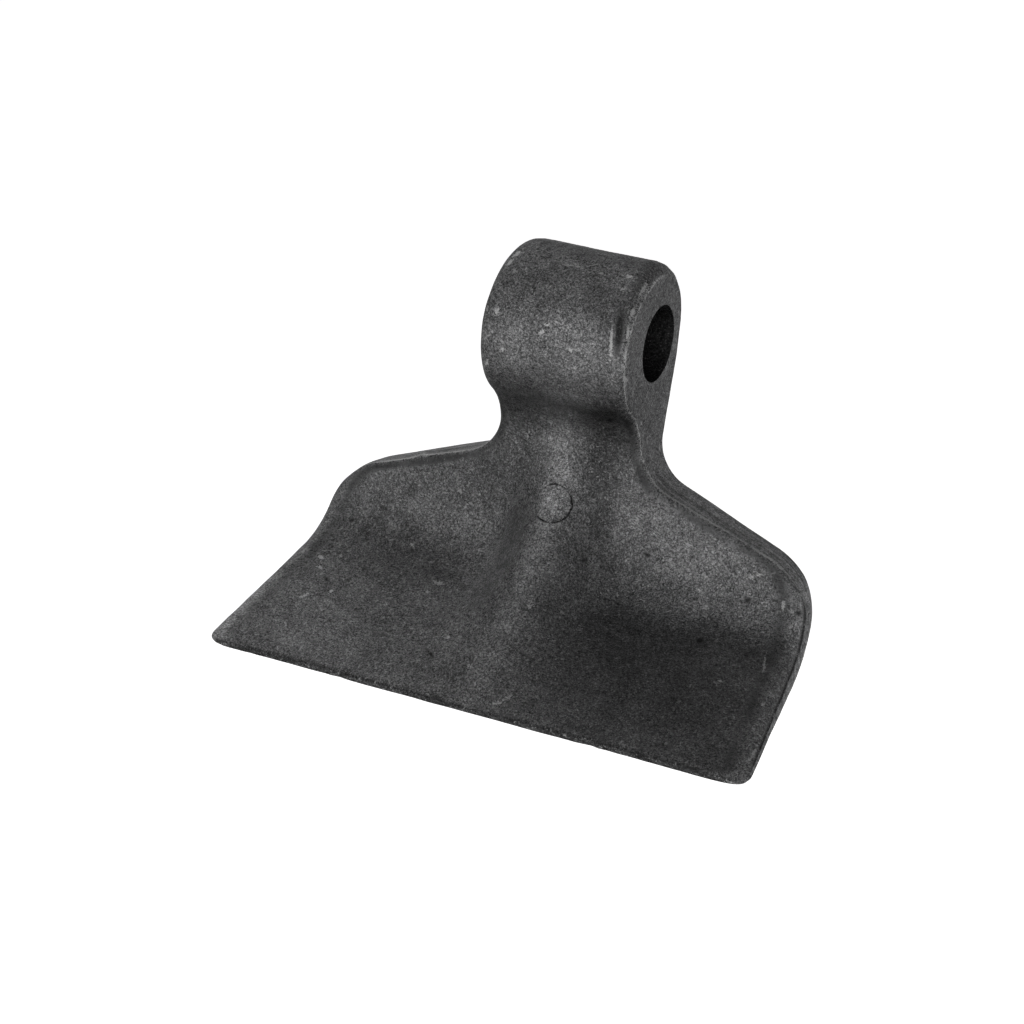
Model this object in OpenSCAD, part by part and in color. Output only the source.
// Flail mower hammer: one drop-forged steel piece that swings on a pin through its eye.
// The bore's axis is X, with the origin at its middle. The cutting side faces -Y, and the shank hangs down along -Z.
// Depths are measured from the bore's axis down the middle of the web, round its bend.

/* [Pivot eye] */
// Diameter of the bore for the pivot pin
bore_d = 20.5; // [14:0.5:26]
// Diameter of the eye's barrel
eye_d = 42.5; // [36:0.5:52]
// Width of the eye and the neck, along the bore
eye_w = 40.5; // [32:0.5:54]
// How far the barrel's middle lies in front of the bore's axis
eye_forward = 2.1; // [0:0.1:4]
// Radius of the hollow under the front of the eye
chin_r = 20; // [12:0.5:24]

/* [Web thickness] */
// Distance of the web's middle behind the bore's axis
web_back = 4.5; // [2:0.5:8]
// Thickness of the neck
neck_t = 15.5; // [12:0.5:22]
// Thickness of the blade at its shoulders
blade_t = 11; // [7:0.5:15]
// Thickness of the cutting edge
edge_t = 2.6; // [1.5:0.1:5]

/* [Blade outline] */
// Depth at which the neck's sides would meet the shoulders
neck_depth = 36; // [30:0.5:42]
// Radius between the neck and the shoulders
neck_fillet = 13; // [6:0.5:16]
// Fall of the shoulders towards the sides, in degrees
shoulder_angle = 20; // [12:1:32]
// Width of the blade across its upper corners
corner_w = 137.5; // [110:0.5:170]
// Radius of the upper corners
corner_r = 20; // [8:0.5:24]
// Width of the blade along its cutting edge
edge_w = 153.5; // [120:0.5:190]
// Radius of the corners of the cutting edge
edge_corner_r = 3.7; // [1.5:0.1:7]

/* [Bend] */
// Depth at which the blade starts to bend forward
bend_depth = 55; // [46:0.5:64]
// Radius of the bend, at the middle of the web
bend_r = 22.5; // [16:0.5:32]
// Angle that the blade turns forward, in degrees
bend_angle = 69; // [40:1:80]
// Depth of the cutting edge, measured round the bend
edge_depth = 126; // [108:0.5:144]

/* [Rib] */
// How far the rib's crest is drawn forward from the inside corner of the bend
rib_forward = 16; // [8:0.5:20]
// Half width of the rib on the neck
rib_neck_w = 19; // [12:0.5:24]
// Half width of the rib where it runs out at the cutting edge
rib_edge_w = 26; // [16:0.5:50]

/* [Forged edges] */
// Radius of the rim behind the ends of the eye
eye_rim_r = 8; // [2:0.5:9]
// Radius of the front rim along the eye, the neck and the shoulders
neck_rim_r = 2.5; // [1:0.5:4]
// Radius of the front rim down the blade's sides
side_rim_r = 5.5; // [2:0.5:7]
// Radius of the back rim
back_rim_r = 1.5; // [0.5:0.5:3]
// Angle that the rim turns before it meets the trimmed wall at an edge, in degrees
rim_turn = 65; // [45:1:85]
// How far the trimmed parting ridge stands out of the rim
parting_h = 0.5; // [0:0.1:1.5]

/* [Hidden] */

eye_r = eye_d / 2;
neck_half_w = eye_w / 2;

// The hollow under the eye touches the barrel at eye_end and runs into the neck's front at chin_end.
neck_front_y = web_back - neck_t / 2;
chin_y = neck_front_y - chin_r;
chin_end = sqrt(pow(eye_r + chin_r, 2) - pow(chin_y + eye_forward, 2));
eye_end = chin_end * eye_r / (eye_r + chin_r);

bend_length = bend_r * bend_angle * PI / 180;

// On the top of the eye its front and back rims meet halfway. A rim takes at most a share of half the web's thickness.
crown_rim_r = (neck_rim_r + eye_rim_r) / 2;
rim_share = 0.6;

// Depths and tangent points of the outline
shoulder_rise = tan(shoulder_angle);
corner_depth = neck_depth + (corner_w / 2 - neck_half_w) * shoulder_rise;
side_angle = atan2((edge_w - corner_w) / 2, edge_depth - corner_depth);
fillet_run = neck_fillet * tan((90 - shoulder_angle) / 2);
fillet_start = neck_depth - fillet_run;
fillet_end = neck_depth + fillet_run * sin(shoulder_angle);
corner_run = corner_r * tan((90 - shoulder_angle - side_angle) / 2);
corner_start = corner_depth - corner_run * sin(shoulder_angle);
corner_end = corner_depth + corner_run * cos(side_angle);
corner_mid = [side_x(corner_end) - corner_r * cos(side_angle), corner_end + corner_r * sin(side_angle)];
tip_start = edge_depth - edge_corner_r * tan((90 + side_angle) / 2) * cos(side_angle);
tip_mid = [side_x(tip_start) - edge_corner_r * cos(side_angle), edge_depth - edge_corner_r];

// The rib's crest leaves the hollow under the eye, cuts the corner of the bend and runs out at the cutting edge.
rib_depth = mix(eye_end, chin_end, 2 / 3);
rib_top = front(rib_depth);
bend_corner = [web_back - blade_t / 2, -bend_depth - (bend_r - blade_t / 2) * tan(bend_angle / 2)];
rib_foot = front(edge_depth);

// A fillet fills the corner where the crest leaves the hollow, over this depth to both sides.
rib_fillet = 0.8;
rib_fillet_run = 6.5;

// Columns from the middle of a section to its rim, and sections from the top of the eye to the edge
rib_columns = 7;
blade_columns = 3;
rim_columns = 4;
eye_sections = 8;
shoulder_sections = 42;
blade_sections = 20;
tip_sections = 4;

function mix(a, b, t) = a + (b - a) * t;

function clamp(t) = min(max(t, 0), 1);

function smooth(t) = clamp(t) * clamp(t) * (3 - 2 * clamp(t));

// Half the blade's width on its straight side at depth s
function side_x(s) = corner_w / 2 + (s - corner_depth) * tan(side_angle);

// Distance from the middle to a circle's outer or inner side at depth s
function arc_x(mid, r, s, side) = mid[0] + side * sqrt(max(r * r - pow(s - mid[1], 2), 0));

// Half the width of the outline at depth s: neck, fillet, shoulder, corner, side and the tip of the edge
function half_width(s) =
    s < fillet_start ? neck_half_w
    : s < fillet_end ? arc_x([neck_half_w + neck_fillet, fillet_start], neck_fillet, s, -1)
    : s < corner_start ? neck_half_w + (s - neck_depth) / shoulder_rise
    : s < corner_end ? arc_x(corner_mid, corner_r, s, 1)
    : s < tip_start ? side_x(s)
    : arc_x(tip_mid, edge_corner_r, s, 1);

// Length across the outline at depth s for each unit of distance from it
function rim_slant(s) =
    let (step = 0.5, rise = (half_width(s + step) - half_width(s - step)) / (2 * step))
    min(sqrt(1 + rise * rise), 1 / sin(shoulder_angle));

// Middle of the web at depth s, as y, z and how far it has turned forward
function web(s) =
    let (turn = bend_angle * clamp((s - bend_depth) / bend_length), tail = max(s - bend_depth - bend_length, 0))
    [
        web_back - bend_r * (1 - cos(turn)) - tail * sin(turn),
        -min(s, bend_depth) - bend_r * sin(turn) - tail * cos(turn),
        turn
    ];

// Half the thickness of the body at depth s
function half_thickness(s) =
    let (t = clamp((s - corner_depth) / (edge_depth - corner_depth)))
    s < 0 ? eye_r
    : s < chin_end ? mix(eye_r, neck_t / 2, smooth(s / chin_end))
    : mix(mix(neck_t, blade_t, smooth((s - chin_end) / (corner_depth - chin_end))), edge_t, t * t * (2 - t)) / 2;

// Share of the thickness that is left as the cutting edge rounds off
function edge_nose(s) =
    let (t = clamp(1 - (edge_depth - s) / edge_t))
    mix(0.4, 1, sqrt(1 - t * t));

// Front of the section at depth s without its rib: y, z and the direction in which the surface faces
function front(s) =
    let (a = acos(clamp((eye_r - s) / (2 * eye_r)) * 2 - 1), z = chin_end - s, w = web(s))
    let (y = sqrt(max(chin_r * chin_r - z * z, 0)), h = half_thickness(s) * edge_nose(s))
    s < eye_end ? [-eye_forward - eye_r * sin(a), eye_r * cos(a), -sin(a), cos(a)]
    : s < chin_end ? [chin_y + y, -s, -y / chin_r, -z / chin_r]
    : [w[0] - h * cos(w[2]), w[1] + h * sin(w[2]), -cos(w[2]), sin(w[2])];

// Back of the section at depth s, in the same form
function back(s) =
    let (a = acos(clamp((eye_r - s) / (2 * eye_r)) * 2 - 1), w = web(s), h = half_thickness(s) * edge_nose(s))
    s < 0 ? [-eye_forward + eye_r * sin(a), eye_r * cos(a), sin(a), cos(a)]
    : s < chin_end ? [mix(eye_r - eye_forward, web_back + neck_t / 2, smooth(s / chin_end)), -s, 1, 0]
    : [w[0] + h * cos(w[2]), w[1] - h * sin(w[2]), cos(w[2]), -sin(w[2])];

// Radius of the rim at depth s, in front and behind
function front_rim(s) =
    let (upper = mix(crown_rim_r, neck_rim_r, smooth(1 + s / eye_r)))
    mix(upper, side_rim_r, smooth((s - corner_start) / (corner_end - corner_start)));

function back_rim(s) =
    let (upper = mix(crown_rim_r, eye_rim_r, smooth(1 + s / eye_r)))
    mix(upper, back_rim_r, smooth(s / chin_end));

// How far a rim of radius r falls at its edge
function rim_fall(s, r) = min(r * (1 - cos(rim_turn)), rim_share * half_thickness(s) * edge_nose(s));

// Half width of the rib at depth s
function rib_reach(s) = mix(rib_neck_w, rib_edge_w, clamp((s - neck_depth) / (edge_depth - neck_depth)));

// Point of the rib's crest, as y and z, on a curve that the corner in front of the bend pulls out
function crest(t) =
    (1 - t) * (1 - t) * [rib_top[0], rib_top[1]]
    + 2 * t * (1 - t) * (bend_corner - [rib_forward, 0])
    + t * t * [rib_foot[0], rib_foot[1]];

// How far the rib lifts the front of the section at depth s: fully at the crest, fading out to both sides
function rib_lift(x, s) =
    let (base = front(s), above = [base[0], base[1]], out = [base[2], base[3]])
    let (crest = s < rib_depth ? above : crest((s - rib_depth) / (edge_depth - rib_depth)))
    let (fill = rib_fillet * pow(max(1 - abs(s - rib_depth) / rib_fillet_run, 0), 2))
    let (lift = crest - above + fill * out)
    pow(cos(90 * min(abs(x) / rib_reach(s), 1)), 2) * [0, lift[0], lift[1]];

// Columns of the right half of a section with a rim of radius r: x, and how much of the rim's fall is reached there
function half_columns(s, r) =
    let (w = half_width(s), run = min(r * sin(rim_turn) * rim_slant(s), w / 2), flat = w - run)
    let (inner = min(rib_reach(s), flat * 0.6))
    concat(
        [for (i = [0:rib_columns - 1]) [inner * i / rib_columns, 0]],
        [for (i = [0:blade_columns - 1]) [mix(inner, flat, i / blade_columns), 0]],
        [
            for (i = [0:rim_columns])
                let (a = rim_turn * i / rim_columns)
                [flat + run * sin(a) / sin(rim_turn), (1 - cos(a)) / (1 - cos(rim_turn))]
        ]
    );

half_count = rib_columns + blade_columns + rim_columns;

// All the columns of a section, from left to right
function columns(s, r) =
    let (c = half_columns(s, r))
    concat([for (i = [half_count:-1:1]) [-c[i][0], c[i][1]]], c);

// A point of the skin at x, sunk below its section's surface
function sunk(base, x, depth) = [x, base[0] - base[2] * depth, base[1] - base[3] * depth];

function front_row(s) =
    let (base = front(s), r = front_rim(s), fall = rim_fall(s, r))
    [for (c = columns(s, r)) sunk(base, c[0], fall * c[1]) + (1 - c[1]) * rib_lift(c[0], s)];

function back_row(s) =
    let (base = back(s), r = back_rim(s), fall = rim_fall(s, r))
    [for (c = columns(s, r)) sunk(base, c[0], fall * c[1])];

// Point of the parting ridge halfway between the front and the back of the rim
function parting_point(a, b, s) =
    let (ridge = parting_h * smooth((s - fillet_start) / (fillet_end - fillet_start)))
    (a + b) / 2 + [sign(a[0]) * ridge, 0, 0];

// One closed section: front from left to right, the right rim, back from right to left and the left rim
function section(s) =
    let (f = front_row(s), b = back_row(s), last = 2 * half_count)
    concat(
        f,
        [parting_point(f[last], b[last], s)],
        [for (i = [last:-1:0]) b[i]],
        [parting_point(f[0], b[0], s)]
    );

depths = concat(
    [for (i = [1:eye_sections]) -eye_r * cos(90 * i / eye_sections)],
    [for (i = [1:shoulder_sections]) corner_end * i / shoulder_sections],
    [for (i = [1:blade_sections]) mix(corner_end, edge_depth - edge_corner_r, i / blade_sections)],
    [for (i = [1:tip_sections]) edge_depth - edge_corner_r * (1 - sin(90 * i / tip_sections))]
);

// Skin over the sections, from one line of points along the top of the eye to the cutting edge
module forging() {
    line = 2 * half_count + 1;
    ring = 2 * line + 2;
    rings = len(depths);
    end = line + (rings - 1) * ring;
    function top(j) = j < line ? j : j == line ? line - 1 : j <= 2 * line ? 2 * line - j : 0;
    function at(r, j) = line + r * ring + j % ring;
    crown = [
        for (j = [0:ring - 1])
            let (a = top(j), b = top((j + 1) % ring))
            a == b ? [a, at(0, j + 1), at(0, j)] : [a, b, at(0, j + 1), at(0, j)]
    ];
    walls = [
        for (r = [0:rings - 2])
            for (j = [0:ring - 1]) [at(r, j), at(r, j + 1), at(r + 1, j + 1), at(r + 1, j)]
    ];
    edge = [for (j = [0:line - 2]) [end + j, end + j + 1, end + 2 * line - j - 1, end + 2 * line - j]];
    tips = [[end + line - 1, end + line, end + line + 1], [end + 2 * line, end + 2 * line + 1, end]];
    polyhedron(
        concat(front_row(-eye_r), [for (s = depths) each section(s)]),
        concat(crown, walls, edge, tips),
        convexity = 6
    );
}

// Hole for the pivot pin, cut past both faces of the eye
module pivot_bore() {
    rotate([0, 90, 0]) cylinder(h = 2 * eye_w, d = bore_d, center = true, $fn = 96);
}

module hammer() {
    color("dimgray") difference() {
        forging();
        pivot_bore();
    }
}

hammer();
